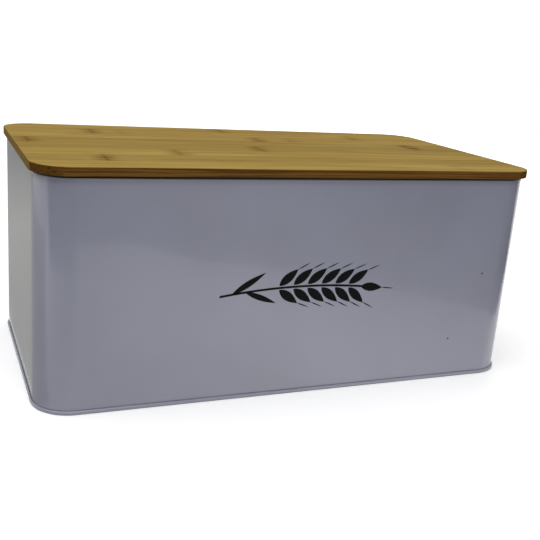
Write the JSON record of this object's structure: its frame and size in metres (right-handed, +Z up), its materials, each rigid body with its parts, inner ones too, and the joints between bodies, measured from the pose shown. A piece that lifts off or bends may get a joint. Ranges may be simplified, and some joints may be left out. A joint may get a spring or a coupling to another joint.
{
  "type": "bread box",
  "caption": "Painted sheet-steel bread box with rounded corners, a rolled rim, a seamed base and a lift-off lid of laminated bamboo strips.",
  "frame": {"origin": "on the ground under the middle of the box's outline", "axes": "+Z up, X along the length of the box, -Y out of its long front"},
  "size_m": [0.344, 0.187, 0.1506],
  "materials": {
    "painted_steel": "glossy pale grey enamel with a lilac tint",
    "bamboo_top": "oiled honey-coloured bamboo, sanded flat",
    "bamboo_plug": "plain bamboo, milled"
  },
  "bodies": {
    "box": {"wall_shell": "painted_steel", "base_panel": "painted_steel"},
    "lid": {"lid_strip_1": "bamboo_top", "lid_strip_2": "bamboo_top", "lid_strip_3": "bamboo_top", "lid_strip_4": "bamboo_top", "lid_strip_5": "bamboo_top", "lid_strip_6": "bamboo_top", "lid_strip_7": "bamboo_top", "lid_strip_8": "bamboo_top", "plug_strip_1": "bamboo_plug", "plug_strip_2": "bamboo_plug", "plug_strip_3": "bamboo_plug", "plug_strip_4": "bamboo_plug", "plug_strip_5": "bamboo_plug", "plug_strip_6": "bamboo_plug", "plug_strip_7": "bamboo_plug", "plug_strip_8": "bamboo_plug", "plug_strip_9": "bamboo_plug"}
  },
  "joints": [
    {"name": "lid_lift", "type": "slide", "parent": "box", "child": "lid", "axis": [0, 0, 1], "range_m": [0, 0.075]}
  ]
}
